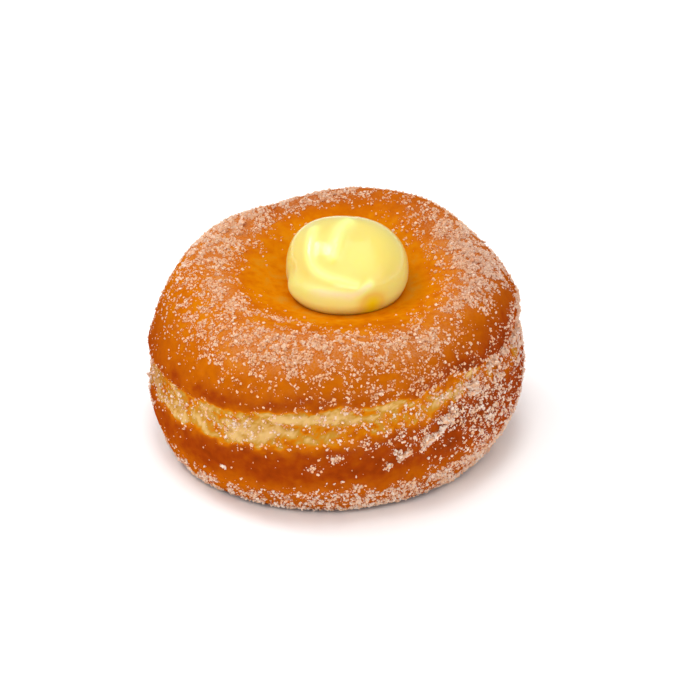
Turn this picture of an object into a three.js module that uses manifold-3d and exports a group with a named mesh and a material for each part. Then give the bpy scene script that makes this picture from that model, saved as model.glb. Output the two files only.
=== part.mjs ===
// A cream-filled doughnut: a lopsided round of fried dough with a pale, ragged band round its waist,
// sugar stuck to its crust, and a dollop of custard cream seated in the dish of its top.
// Millimetres, +Z up. The origin is on the table under the middle of the doughnut's box. The front faces -Y.
import * as THREE from "three";
import { ParametricGeometry } from "three/addons/geometries/ParametricGeometry.js";
import { mergeVertices } from "three/addons/utils/BufferGeometryUtils.js";
import Module from "manifold-3d";

const { degToRad, euclideanModulo, lerp } = THREE.MathUtils;

// Dough: the plain round, before frying made it lopsided.
const DOUGH_DIAMETER = 85;
const WIDEST_RADIUS = DOUGH_DIAMETER / 2;
const WIDEST_HEIGHT = 20;
const CREST_HEIGHT = 41.9;
const CREST_RADIUS = 30.6;
const FOOT_RADIUS = 36.2;
const BELLY_POWER = 1.75;
const CAP_POWER = 1.95;
const DISH_DEPTH = 4.8;
const SEAT_RADIUS = 13.2;
const SEAT_DEPTH = 3;

// What frying did to the round: it is a little oval, its crown rises to the back, sags at two sides and sways
// in three waves, and it leans to the right, with the cream off its middle.
const OVAL_SHARE = 0.019;
const OVAL_AZIMUTH = degToRad(22);
const CROWN_RISE = 2.7;
const CROWN_SAG = 2.65;
const CROWN_RIDGE_AZIMUTH = degToRad(81);
const CROWN_SWAY = 1.3;
const CROWN_SWAY_AZIMUTH = degToRad(53);
const LEAN = 0.05;
const SEAT_SHIFT = 1.9;
const DENTS = [
  { depth: 0.6, waves: 3, phase: 0.9, levels: 0 },
  { depth: 0.3, waves: 4, phase: 2.3, levels: 0 },
  { depth: 0.3, waves: 5, phase: 2.1, levels: 2 },
  { depth: 0.2, waves: 8, phase: 4.4, levels: 3 },
];

// The pale band, where the dough floated above the oil: a shallow ragged groove under the cap's soft lip.
const BAND_HEIGHT = 21.4;
const BAND_RISE_RIGHT = 4.3;
const BAND_RISE_FRONT = 4;
const BAND_HALF_WIDTH = 3.7;
const BAND_DEPTH = 0.75;
const BAND_WANDER = 0.4;
const LIP_RISE = 5.2;
const LIP_HALF_WIDTH = 2;
const LIP_BULGE = 0.4;

// The crease just above the foot, where the side turns under.
const CREASE_HEIGHT = 5.5;
const CREASE_HALF_WIDTH = 1.6;
const CREASE_DEPTH = 0.5;

// Cream: a dollop folded over itself, with a lower roll in front and the edge of its tail across the top.
const CREAM_RADIUS = 13.6;
const CREAM_HEIGHT = 13.9;
const CREAM_GIRTH_HEIGHT = 3.4;
const CREAM_FOOT_RADIUS = 12.6;
const CREAM_POWER = 2.35;
const SEAT_GAP = 0.3;
// Each fold has a push outwards, a width, and a line of points seen from above, from -1 to 1 over the dome.
const CREAM_FOLDS = [
  {
    fold: "roll",
    push: 0.75,
    width: 0.2,
    line: [[-0.95, -0.45], [-0.51, -0.76], [-0.11, -0.9], [0.12, -0.9], [0.28, -0.74]],
  },
  {
    fold: "ridge",
    push: 0.5,
    width: 0.085,
    line: [[-0.33, 0.05], [-0.46, -0.28], [-0.43, -0.5], [-0.21, -0.68], [0.1, -0.78]],
  },
  {
    fold: "tail",
    push: 0.6,
    width: 0.09,
    line: [[-0.01, 0.12], [-0.06, 0.04], [-0.12, -0.18], [-0.16, -0.36]],
  },
  { fold: "hollow", push: -0.35, width: 0.1, line: [[0.02, 0], [-0.02, -0.5]] },
  { fold: "right lobe", push: 0.3, width: 0.2, line: [[0.25, 0], [0.35, -0.5]] },
  { fold: "right crease", push: -0.35, width: 0.15, line: [[0.45, -1], [0.4, -0.88]] },
  { fold: "left notch", push: -0.3, width: 0.12, line: [[-1, -0.12], [-0.78, -0.25]] },
  { fold: "left shoulder", push: 1.5, width: 0.4, line: [[-0.5, 0.3]] },
];

// Sugar: the largest clumps only, each a rough lump partly sunk into the crust.
const CLUMP_TRIES = 780;
const CLUMP_HIGHEST_WAY = 2.4;
const CLUMP_SMALLEST = 0.9;
const CLUMP_LARGEST = 1.7;
const CLUMP_SUNK_SHARE = 0.35;
const GOLDEN_ANGLE = Math.PI * (3 - Math.sqrt(5));
// Steps from clump to clump that spread their places, sizes and stretches evenly.
const CLUMP_STEPS = { way: 0.7549, size: 0.5698, stretch: 0.31 };
// How much sugar must lie at a place for the smallest clump and for the largest.
const CLUMP_SUGAR = [0.25, 0.95];
// Where the sugar caught: an azimuth and its reach in degrees, where 90 is the back and 270 the front,
// a place on the way from the foot at 0 by the band at 1 and the crest at 2 to the cream at 3, with its
// spread, and how much lies there.
const SUGAR_PATCHES = [
  { azimuth: 16, reach: 32, way: 2.03, spread: 0.38, amount: 1 },
  { azimuth: 100, reach: 22, way: 1.95, spread: 0.2, amount: 0.85 },
  { azimuth: 150, reach: 22, way: 2, spread: 0.32, amount: 1 },
  { azimuth: 196, reach: 24, way: 2.17, spread: 0.17, amount: 0.7 },
  { azimuth: 236, reach: 16, way: 2.42, spread: 0.12, amount: 0.25 },
  { azimuth: 252, reach: 30, way: 1.78, spread: 0.3, amount: 0.9 },
  { azimuth: 300, reach: 17, way: 1.7, spread: 0.25, amount: 0.75 },
  { azimuth: 334, reach: 18, way: 2.07, spread: 0.24, amount: 0.5 },
  { azimuth: 10, reach: 24, way: 1.03, spread: 0.25, amount: 0.95 },
  { azimuth: 342, reach: 24, way: 0.35, spread: 0.28, amount: 0.85 },
  { azimuth: 316, reach: 22, way: 0.95, spread: 0.14, amount: 0.4 },
  { azimuth: 300, reach: 60, way: 0.32, spread: 0.14, amount: 0.5 },
  { azimuth: 215, reach: 40, way: 0.3, spread: 0.06, amount: 0.4 },
  { azimuth: 225, reach: 50, way: 1, spread: 0.1, amount: 0.14 },
  { azimuth: 178, reach: 12, way: 0.92, spread: 0.16, amount: 0.6 },
  { azimuth: 100, reach: 60, way: 0.85, spread: 0.45, amount: 0.6 },
  { azimuth: 100, reach: 90, way: 0.28, spread: 0.1, amount: 0.6 },
];

// Fineness of the faceted surfaces, in rows for each stretch from the foot to the seat, and in sides.
const DOUGH_ROWS = { foot: 1, belly: 10, cap: 11, dish: 5, seat: 3 };
const DOUGH_SIDES = 72;
const ROW_CROWDING = 1.4;
const CREAM_ROWS = { seat: 3, tuck: 3, dome: 22 };
const CREAM_SIDES = 80;

const wasm = await Module();
wasm.setup();

const QUARTER = Math.PI / 2;
const bell = (x) => Math.exp(-x * x);
const fraction = (x) => x - Math.floor(x);
const smooth = (x) => THREE.MathUtils.smoothstep(x, 0, 1);

// Height of the pale band's middle at an azimuth.
function bandHeight(azimuth) {
  const slope = BAND_RISE_RIGHT * Math.cos(azimuth) - BAND_RISE_FRONT * Math.sin(azimuth);
  const wander = BAND_WANDER * (Math.sin(7 * azimuth + 1) + 0.6 * Math.sin(17 * azimuth + 4));
  return BAND_HEIGHT + slope + wander;
}

// Shallow dents and swells of the crust, outwards, at an azimuth and height.
function dent(azimuth, height) {
  let sum = 0;
  for (const { depth, waves, phase, levels } of DENTS) {
    sum += depth * Math.sin(waves * azimuth + phase + (levels * Math.PI * height) / CREST_HEIGHT);
  }
  return sum;
}

// How far the crown's rise, sag and sway lift the rim at an azimuth, at a share of the widest radius.
function crownLift(azimuth, share) {
  const sag = CROWN_SAG * Math.cos(2 * (azimuth - CROWN_RIDGE_AZIMUTH));
  const sway = CROWN_SWAY * Math.cos(3 * (azimuth - CROWN_SWAY_AZIMUTH));
  return share * CROWN_RISE * Math.sin(azimuth) + share * share * (sag + sway);
}

// Moves a point of the plain round, given by azimuth, radius and height, to its place on the doughnut.
function lopsided(azimuth, plainRadius, plainHeight, target = new THREE.Vector3()) {
  const raised = smooth(plainHeight / WIDEST_HEIGHT);
  const outside = smooth((plainRadius - SEAT_RADIUS) / (CREST_RADIUS - SEAT_RADIUS));
  let radius = plainRadius * (1 + OVAL_SHARE * Math.cos(2 * (azimuth - OVAL_AZIMUTH)));
  let height = plainHeight + raised * crownLift(azimuth, radius / WIDEST_RADIUS);
  const overBand = height - bandHeight(azimuth);
  const swell = outside * raised * dent(azimuth, plainHeight);
  const towardsCrest = smooth((plainHeight - BAND_HEIGHT) / (CREST_HEIGHT - BAND_HEIGHT));
  const lip = LIP_BULGE * bell((overBand - LIP_RISE) / LIP_HALF_WIDTH);
  const groove = BAND_DEPTH * bell(overBand / BAND_HALF_WIDTH);
  const crease = CREASE_DEPTH * bell((plainHeight - CREASE_HEIGHT) / CREASE_HALF_WIDTH);
  radius += swell + outside * (lip - groove - crease);
  height += (swell * towardsCrest) / 2;
  const shift = LEAN * plainHeight + SEAT_SHIFT * raised * (1 - outside);
  return target.set(radius * Math.cos(azimuth) + shift, radius * Math.sin(azimuth), height);
}

// The plain side as [radius, height]: the foot's edge at turn 0, the widest place at 1 and the crest at 2.
function sidePoint(turn) {
  if (turn < 1) {
    const out = Math.sin(turn * QUARTER) ** (2 / BELLY_POWER);
    const down = Math.cos(turn * QUARTER) ** (2 / BELLY_POWER);
    return [lerp(FOOT_RADIUS, WIDEST_RADIUS, out), WIDEST_HEIGHT * (1 - down)];
  }
  const out = Math.max(0, Math.cos((turn - 1) * QUARTER)) ** (2 / CAP_POWER);
  const up = Math.sin((turn - 1) * QUARTER) ** (2 / CAP_POWER);
  return [lerp(CREST_RADIUS, WIDEST_RADIUS, out), lerp(WIDEST_HEIGHT, CREST_HEIGHT, up)];
}

// The turn at which the side meets the middle of the pale band at an azimuth.
function bandTurn(azimuth) {
  const plainHeight = bandHeight(azimuth) - crownLift(azimuth, 1);
  if (plainHeight < WIDEST_HEIGHT) {
    return Math.acos((1 - plainHeight / WIDEST_HEIGHT) ** (BELLY_POWER / 2)) / QUARTER;
  }
  const share = (plainHeight - WIDEST_HEIGHT) / (CREST_HEIGHT - WIDEST_HEIGHT);
  return 1 + Math.asin(share ** (CAP_POWER / 2)) / QUARTER;
}

function dishPoint(share) {
  return [lerp(CREST_RADIUS, SEAT_RADIUS, share), CREST_HEIGHT - DISH_DEPTH * share * share * (2 - share)];
}

function seatPoint(share) {
  return [SEAT_RADIUS * (1 - share), CREST_HEIGHT - DISH_DEPTH - SEAT_DEPTH * Math.sin(share * QUARTER)];
}

// A point of the crust at an azimuth and a place on the way: foot 0, band 1, crest 2, cream 3.
function crustPoint(azimuth, way, target) {
  if (way > 2) {
    return lopsided(azimuth, ...dishPoint(way - 2), target);
  }
  const band = bandTurn(azimuth);
  const turn = way < 1 ? band * way : lerp(band, 2, way - 1);
  return lopsided(azimuth, ...sidePoint(turn), target);
}

// Finds the stretch that a row falls in, and calls its function with the share of the stretch that is passed.
function alongRows(row, stretches) {
  let left = row;
  for (const [rows, place] of stretches) {
    if (left <= rows) {
      return place(left / rows);
    }
    left -= rows;
  }
  const [, last] = stretches.at(-1);
  return last(1);
}

// A closed surface of points given by azimuth and row, as one solid.
function turnedSolid(rows, sides, pointAt) {
  const surface = (u, v, target) => pointAt((u % 1) * 2 * Math.PI, v * rows, target);
  const geometry = new ParametricGeometry(surface, sides, rows);
  geometry.deleteAttribute("normal");
  geometry.deleteAttribute("uv");
  return solidOf(geometry);
}

function solidOf(geometry) {
  const merged = mergeVertices(geometry, 1e-3);
  return new wasm.Manifold(
    new wasm.Mesh({
      numProp: 3,
      vertProperties: merged.getAttribute("position").array,
      triVerts: new Uint32Array(merged.index.array),
    }),
  );
}

// The dough's rows crowd together towards the band, where the relief is.
function doughPoint(azimuth, row, target) {
  return alongRows(row, [
    [DOUGH_ROWS.foot, (share) => lopsided(azimuth, FOOT_RADIUS * share, 0, target)],
    [DOUGH_ROWS.belly, (share) => crustPoint(azimuth, 1 - (1 - share) ** ROW_CROWDING, target)],
    [DOUGH_ROWS.cap, (share) => crustPoint(azimuth, 1 + share ** ROW_CROWDING, target)],
    [DOUGH_ROWS.dish, (share) => crustPoint(azimuth, 2 + share, target)],
    [DOUGH_ROWS.seat, (share) => lopsided(azimuth, ...seatPoint(share), target)],
  ]);
}

// How far a place is from the nearest point of a line, both seen from above.
function distanceToLine(place, line) {
  let nearest = place.distanceTo(new THREE.Vector2(...line[0]));
  for (let end = 1; end < line.length; end++) {
    const from = new THREE.Vector2(...line[end - 1]);
    const along = new THREE.Vector2(...line[end]).sub(from);
    const share = THREE.MathUtils.clamp(place.clone().sub(from).dot(along) / along.lengthSq(), 0, 1);
    nearest = Math.min(nearest, place.distanceTo(from.addScaledVector(along, share)));
  }
  return nearest;
}

// How far the folds push the cream out at an azimuth and a share of the way from the girth to the peak.
function creamPush(azimuth, share) {
  const place = new THREE.Vector2(Math.cos(azimuth), Math.sin(azimuth)).multiplyScalar(1 - share);
  let push = 0;
  for (const fold of CREAM_FOLDS) {
    push += fold.push * bell(distanceToLine(place, fold.line) / fold.width);
  }
  return push;
}

// A point of the dollop's dome, from the girth at share 0 to the peak at 1, pushed out by its folds.
function domePoint(azimuth, share, target) {
  const out = Math.max(0, Math.cos(share * QUARTER)) ** (2 / CREAM_POWER);
  const up = Math.sin(share * QUARTER) ** (2 / CREAM_POWER);
  const push = creamPush(azimuth, share);
  const girth = CREST_HEIGHT - DISH_DEPTH + CREAM_GIRTH_HEIGHT;
  const rise = up * (CREAM_HEIGHT - CREAM_GIRTH_HEIGHT);
  return lopsided(azimuth, out * (CREAM_RADIUS + push), girth + rise + up * push, target);
}

// The dollop: over the seat from its middle outwards, out from its tucked foot to the girth and up the dome.
function creamPoint(azimuth, row, target) {
  const underside = (share) => {
    const [radius, height] = seatPoint(1 - (share * CREAM_FOOT_RADIUS) / SEAT_RADIUS);
    return lopsided(azimuth, radius, height + SEAT_GAP, target);
  };
  const tuck = (share) => {
    const [footRadius, footHeight] = seatPoint(1 - CREAM_FOOT_RADIUS / SEAT_RADIUS);
    const girthHeight = CREST_HEIGHT - DISH_DEPTH + CREAM_GIRTH_HEIGHT;
    const radius = lerp(footRadius, CREAM_RADIUS + creamPush(azimuth, 0), Math.sin(share * QUARTER));
    return lopsided(azimuth, radius, lerp(footHeight + SEAT_GAP, girthHeight, share), target);
  };
  return alongRows(row, [
    [CREAM_ROWS.seat, underside],
    [CREAM_ROWS.tuck, tuck],
    [CREAM_ROWS.dome, (share) => domePoint(azimuth, share, target)],
  ]);
}

function crustNormal(azimuth, way) {
  const step = 0.01;
  const around = crustPoint(azimuth + step, way).sub(crustPoint(azimuth - step, way));
  const up = crustPoint(azimuth, way + step).sub(crustPoint(azimuth, way - step));
  return around.cross(up).normalize();
}

// How much sugar lies at a place on the crust, from 0 to 1.
function sugarAmount(azimuth, way) {
  let bare = 1;
  for (const patch of SUGAR_PATCHES) {
    const turned = euclideanModulo(azimuth - degToRad(patch.azimuth) + Math.PI, 2 * Math.PI) - Math.PI;
    bare *= 1 - patch.amount * bell(turned / degToRad(patch.reach)) * bell((way - patch.way) / patch.spread);
  }
  return 1 - bare;
}

// One rough clump: a twelve-cornered lump, turned and stretched by its number.
function sugarClump(number, centre, outward) {
  const size = lerp(CLUMP_SMALLEST, CLUMP_LARGEST, fraction(number * CLUMP_STEPS.size) ** 2);
  const lump = new THREE.IcosahedronGeometry(size / 2, 0);
  lump.deleteAttribute("normal");
  lump.deleteAttribute("uv");
  lump.scale(1 + 0.5 * fraction(number * CLUMP_STEPS.stretch), 1, 0.8);
  lump.rotateZ(number);
  lump.rotateX(0.6 * Math.sin(number));
  const place = centre.clone().addScaledVector(outward, size * (0.5 - CLUMP_SUNK_SHARE));
  lump.translate(place.x, place.y, place.z);
  return solidOf(lump);
}

// Clumps spread by the golden angle, and kept where the crust has sugar and is clear of the table.
function sugarClumps() {
  const clumps = [];
  for (let number = 1; number <= CLUMP_TRIES; number++) {
    const azimuth = number * GOLDEN_ANGLE;
    const way = CLUMP_HIGHEST_WAY * fraction(number * CLUMP_STEPS.way);
    const centre = crustPoint(azimuth, way);
    const needed = lerp(...CLUMP_SUGAR, fraction(number * CLUMP_STEPS.size));
    if (sugarAmount(azimuth, way) > needed && centre.z > CLUMP_LARGEST) {
      clumps.push(sugarClump(number, centre, crustNormal(azimuth, way)));
    }
  }
  return clumps;
}

// A named mesh of a solid, moved so that the doughnut's box stands on the origin.
function meshOf(name, solid, material, origin) {
  const made = solid.getMesh();
  const geometry = new THREE.BufferGeometry();
  geometry.setAttribute("position", new THREE.BufferAttribute(new Float32Array(made.vertProperties), 3));
  geometry.setIndex(new THREE.BufferAttribute(new Uint32Array(made.triVerts), 1));
  geometry.translate(-origin.x, -origin.y, -origin.z);
  geometry.computeVertexNormals();
  const mesh = new THREE.Mesh(geometry, material);
  mesh.name = name;
  return mesh;
}

const total = (rows) => Object.values(rows).reduce((sum, n) => sum + n, 0);
const bareDough = turnedSolid(total(DOUGH_ROWS), DOUGH_SIDES, doughPoint);
const dough = wasm.Manifold.union([bareDough, ...sugarClumps()]);
const cream = turnedSolid(total(CREAM_ROWS), CREAM_SIDES, creamPoint);

const box = dough.boundingBox();
const origin = new THREE.Vector3((box.min[0] + box.max[0]) / 2, (box.min[1] + box.max[1]) / 2, 0);

const crust = new THREE.MeshStandardMaterial({ color: 0xd47a1c, roughness: 0.5, metalness: 0 });
const custard = new THREE.MeshStandardMaterial({ color: 0xfbe67c, roughness: 0.25, metalness: 0 });

const doughnut = new THREE.Group();
doughnut.name = "cream_filled_doughnut";
doughnut.add(meshOf("dough", dough, crust, origin));
doughnut.add(meshOf("cream", cream, custard, origin));

export default doughnut;
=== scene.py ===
"""Looks of a cream-filled doughnut: browned crust with a pale waist, folded custard cream and sugar.

Lengths are in metres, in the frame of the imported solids: +Z up, with the front towards -Y.
A place on the crust is an azimuth, where 90 degrees is the back and 270 the front, and a way along
the profile: -1 at the middle of the foot, 0 at its edge, 1 on the pale band, 2 at the crest, 3 at the
edge of the cream's seat and 4 at the seat's middle.
"""
import math
from typing import NamedTuple

import bmesh
import bpy
import numpy as np
from bpy.props import FloatProperty, FloatVectorProperty, IntProperty, PointerProperty
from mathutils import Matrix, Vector, noise


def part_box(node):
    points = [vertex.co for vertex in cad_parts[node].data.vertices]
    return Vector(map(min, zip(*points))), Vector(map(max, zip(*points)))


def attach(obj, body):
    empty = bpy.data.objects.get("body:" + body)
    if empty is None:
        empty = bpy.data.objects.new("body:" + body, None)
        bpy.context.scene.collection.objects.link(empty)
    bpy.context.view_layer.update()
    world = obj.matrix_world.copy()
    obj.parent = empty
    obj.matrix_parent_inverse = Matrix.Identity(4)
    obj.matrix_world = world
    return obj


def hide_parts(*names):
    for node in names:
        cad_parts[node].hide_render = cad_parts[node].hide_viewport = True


bl_info = {
    "name": "Cream-Filled Doughnut",
    "version": (1, 0, 0),
    "blender": (4, 5, 0),
    "location": "3D View > Sidebar > Doughnut",
    "description": "Dresses a lopsided cream-filled doughnut with crust, cream and sugar",
    "category": "Add Mesh",
}

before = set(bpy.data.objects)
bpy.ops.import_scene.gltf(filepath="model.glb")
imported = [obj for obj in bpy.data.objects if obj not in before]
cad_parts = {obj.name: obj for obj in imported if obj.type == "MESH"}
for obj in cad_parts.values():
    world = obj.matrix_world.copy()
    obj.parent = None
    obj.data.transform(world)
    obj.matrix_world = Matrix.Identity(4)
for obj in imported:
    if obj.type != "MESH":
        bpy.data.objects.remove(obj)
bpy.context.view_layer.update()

MM = 0.001
QUARTER = math.pi / 2
TURN = 2 * math.pi
GOLDEN_ANGLE = math.pi * (3 - math.sqrt(5))
TINY = 1e-12


class Patch(NamedTuple):
    """A patch on the crust: its azimuth and reach in degrees, its way and spread, and how much is there."""

    azimuth: float
    reach: float
    way: float
    spread: float
    amount: float

    def share(self, azimuth, way):
        """The patch's amount in its middle, fading outwards."""
        return self.amount * near(azimuth, self.azimuth, self.reach) * bell((way - self.way) / self.spread)


class Fold(NamedTuple):
    """A fold of the cream: a push outwards, and the widths of its flanks to the left and right of a line.

    The line's points are seen from above, from -1 to 1 over the dome.
    """

    push: float
    left: float
    right: float
    line: tuple


# Shallow dents and swells of the crust: depth, waves round it, phase, and half turns up to the crest.
DENTS = (
    (0.6 * MM, 3, 0.9, 0),
    (0.3 * MM, 4, 2.3, 0),
    (0.3 * MM, 5, 2.1, 2),
    (0.2 * MM, 8, 4.4, 3),
)

# Waves in which the pale band wanders: share, waves round it and phase.
BAND_WAVES = (
    (1, 7, 1),
    (0.6, 17, 4),
)

# Where the cap is browned more.
BROWNED_PATCHES = (
    Patch(90, 50, 1.95, 0.3, 0.12),
    Patch(338, 24, 1.3, 0.3, 0.2),
    Patch(312, 20, 1.1, 0.16, 0.18),
)

# Sides of the rim that are painted darker, as painted shade where light falls off away from the front:
# azimuth and reach in degrees, the ways at which the painted shade sets in and is full, and how much of it
# there is.
SHADED_RIM_SIDES = (
    (182, 24, 1.8, 1.2, 0.55),
    (5, 34, 2.5, 2, 0.42),
    (110, 50, 2.4, 2, 0.25),
)

# Where the sugar caught.
SUGAR_PATCHES = (
    Patch(16, 32, 2.03, 0.38, 1),
    Patch(100, 22, 1.95, 0.2, 0.85),
    Patch(150, 22, 2, 0.32, 1),
    Patch(196, 24, 2.17, 0.17, 0.7),
    Patch(236, 16, 2.42, 0.12, 0.25),
    Patch(252, 30, 1.78, 0.3, 0.9),
    Patch(300, 17, 1.7, 0.25, 0.75),
    Patch(334, 18, 2.07, 0.24, 0.5),
    Patch(10, 24, 1.03, 0.25, 0.95),
    Patch(342, 24, 0.35, 0.28, 0.85),
    Patch(316, 22, 0.95, 0.14, 0.4),
    Patch(300, 60, 0.32, 0.14, 0.5),
    Patch(215, 40, 0.3, 0.06, 0.4),
    Patch(225, 50, 1, 0.1, 0.14),
    Patch(178, 12, 0.92, 0.16, 0.6),
    Patch(100, 60, 0.85, 0.45, 0.6),
    Patch(100, 90, 0.28, 0.1, 0.6),
)

# Where finer sugar lies thinly.
SUGAR_DUSTINGS = (
    Patch(196, 20, 1.85, 0.28, 0.4),
    Patch(218, 16, 1.75, 0.22, 0.3),
    Patch(294, 34, 1.25, 0.24, 0.3),
    Patch(324, 20, 0.8, 0.26, 0.34),
    Patch(240, 45, 1, 0.13, 0.17),
    Patch(292, 14, 0.87, 0.09, 0.3),
    Patch(300, 45, 0.3, 0.12, 0.3),
    Patch(236, 1.5, 0.62, 0.03, 0.7),
    Patch(265, 2, 0.69, 0.04, 0.6),
    Patch(271, 2, 0.77, 0.03, 0.9),
    Patch(277, 3, 0.5, 0.06, 0.6),
)

# Where sugar is caked on: a line of azimuths in degrees and ways, from the lower side up along the band
# on the right, an azimuth in its middle, its width in radians, and the radians that one way counts as.
CAKED_LINE = (
    (289, 0.66),
    (292, 0.75),
    (298, 0.74),
    (303, 0.84),
    (312, 0.93),
    (322, 0.98),
    (332, 1.06),
    (358, 1.07),
)
CAKED_MIDDLE = 320
CAKED_WIDTH = 0.035
CAKED_WAY = 0.6

# The cream's folds.
CREAM_FOLDS = {
    "roll": Fold(
        0.75 * MM, 0.15, 0.3, ((-0.95, -0.45), (-0.51, -0.76), (-0.11, -0.9), (0.12, -0.9), (0.28, -0.74))
    ),
    "ridge": Fold(
        0.5 * MM, 0.07, 0.1, ((-0.33, 0.05), (-0.46, -0.28), (-0.43, -0.5), (-0.21, -0.68), (0.1, -0.78))
    ),
    "tail": Fold(0.6 * MM, 0.05, 0.15, ((-0.01, 0.12), (-0.06, 0.04), (-0.12, -0.18), (-0.16, -0.36))),
    "hollow": Fold(-0.35 * MM, 0.1, 0.1, ((0.02, 0), (-0.02, -0.5))),
    "right lobe": Fold(0.3 * MM, 0.2, 0.2, ((0.25, 0), (0.35, -0.5))),
    "right crease": Fold(-0.35 * MM, 0.15, 0.15, ((0.45, -1), (0.4, -0.88))),
    "left notch": Fold(-0.3 * MM, 0.12, 0.12, ((-1, -0.12), (-0.78, -0.25))),
    "left shoulder": Fold(1.5 * MM, 0.4, 0.4, ((-0.52, 0.3), (-0.48, 0.3))),
}

# Folds along which the cream is painted paler, as painted highlights, and how much. The right crease is
# painted deeper in colour instead, as painted shade.
CREAM_HIGHLIGHTS = {"roll": 0.8, "ridge": 0.4, "tail": 0.45}
HIGHLIGHT_WIDTH = 0.06
CREASE_SHADE_WIDTH = 0.2

# Where each colour stands: the crust's from crumb to dark by how browned and shaded it is, the cream's from
# the painted highlight of its streak to the painted shade of its deep yellow, and the sugar's from white to
# peach.
CRUST_STOPS = (0, 0.24, 0.4, 0.5, 0.8, 1)
CREAM_STOPS = (0, 0.35, 0.6, 1)
SUGAR_STOPS = (0, 0.45, 1)

# Forms of a grain, about one unit across: corners and the faces between them.
CRYSTAL_FORM = (
    [(x, y, z) for x in (-0.5, 0.5) for y in (-0.4, 0.4) for z in (-0.3, 0.3)],
    [(0, 1, 3, 2), (4, 6, 7, 5), (0, 4, 5, 1), (2, 3, 7, 6), (0, 2, 6, 4), (1, 5, 7, 3)],
)
SPLINTER_FORM = (
    [(0, 0, 0.6), (0, 0, -0.6), (0.4, 0, 0), (-0.25, 0.35, 0), (-0.25, -0.35, 0)],
    [(0, 2, 3), (0, 3, 4), (0, 4, 2), (1, 3, 2), (1, 4, 3), (1, 2, 4)],
)

# How far grains differ, as shares of their size: stretch along each axis, shift of a corner, and size.
GRAIN_STRETCH = (0.8, 1.25)
GRAIN_SKEW = 0.07
GRAIN_SIZES = (0.7, 1.35)

# How high a grain's middle is over the crust, as shares of its size: at least, at most, and more where
# sugar is caked on.
GRAIN_SUNK = -0.15
GRAIN_RAISED = 0.2
GRAIN_HEAPED = 1.6

# Grid over which grains are drawn, the share of strays, how strongly the grains keep to the sugar's
# cover, and the lowest height that they stick at.
SCATTER_SIDES = 540
SCATTER_RINGS = 220
SCATTER_WAYS = (0.05, 2.7)
STRAY_SHARE = 0.001
COVER_POWER = 1.2
LOWEST_GRAIN = 0.6 * MM

# Clumps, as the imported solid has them: the highest way, the steps from one to the next, and the least
# sugar that catches one, with its spread.
CLUMP_WAYS = 2.4
CLUMP_WAY_STEP = 0.7549
CLUMP_SIZE_STEP = 0.5698
CLUMP_LEAST_SUGAR = 0.25
CLUMP_SUGAR_SPREAD = 0.7

# A clump's crystals: their number, and their scatter and sizes as shares of the clump.
CLUMP_CRYSTALS = 9
CLUMP_SCATTER = 0.24
CLUMP_CRYSTAL_SIZES = (0.35, 0.6)

# Rings of the wrapped meshes, as the way that each stretch starts at and its number of rings.
DOUGH_RINGS = ((-1, 6), (0, 60), (1, 66), (2, 34), (3, 4))
DOUGH_SIDES = 540
CREAM_RINGS = ((-2, 4), (-1, 10), (0, 90))
CREAM_SIDES = 240
MERGE_DISTANCE = 1e-6

# Grid over the cream's dome that measures its box, and the step that measures a slope of the crust.
BOX_SIDES = 256
BOX_RINGS = 64
SLOPE_STEP = 0.004

# Noise gains octaves that are each half the size and half the strength of the last.
OCTAVE_FALL = 1.0
OCTAVE_STEP = 2.0

# Sockets of the mix node that carry colours.
MIX_FIRST = 6
MIX_SECOND = 7
MIX_RESULT = 2

FLOOR_REACH = 4


def srgb(red, green, blue):
    """A colour given in 0 to 255 steps of sRGB, as Blender's linear colour."""
    shares = [step / 255 for step in (red, green, blue)]
    return tuple(s / 12.92 if s <= 0.04045 else ((s + 0.055) / 1.055) ** 2.4 for s in shares)


def length(name, description, default):
    """A length property in metres."""
    return FloatProperty(name=name, description=description, default=default, unit="LENGTH", precision=5)


def angle(name, description, degrees):
    """An angle property, given in degrees and held in radians."""
    return FloatProperty(name=name, description=description, default=math.radians(degrees), subtype="ANGLE")


def power(name, description, default):
    """A light's power in watts."""
    return FloatProperty(name=name, description=description, default=default, unit="POWER")


def number(name, description, default):
    """A property for a share, a fullness, a slope or a strength."""
    return FloatProperty(name=name, description=description, default=default, precision=4)


def whole(name, description, default):
    """A property for a whole number."""
    return IntProperty(name=name, description=description, default=default, min=1)


def colour(name, description, default):
    """A colour property, given in sRGB steps."""
    return FloatVectorProperty(
        name=name, description=description, default=srgb(*default), subtype="COLOR", size=3, min=0, max=1
    )


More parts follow.
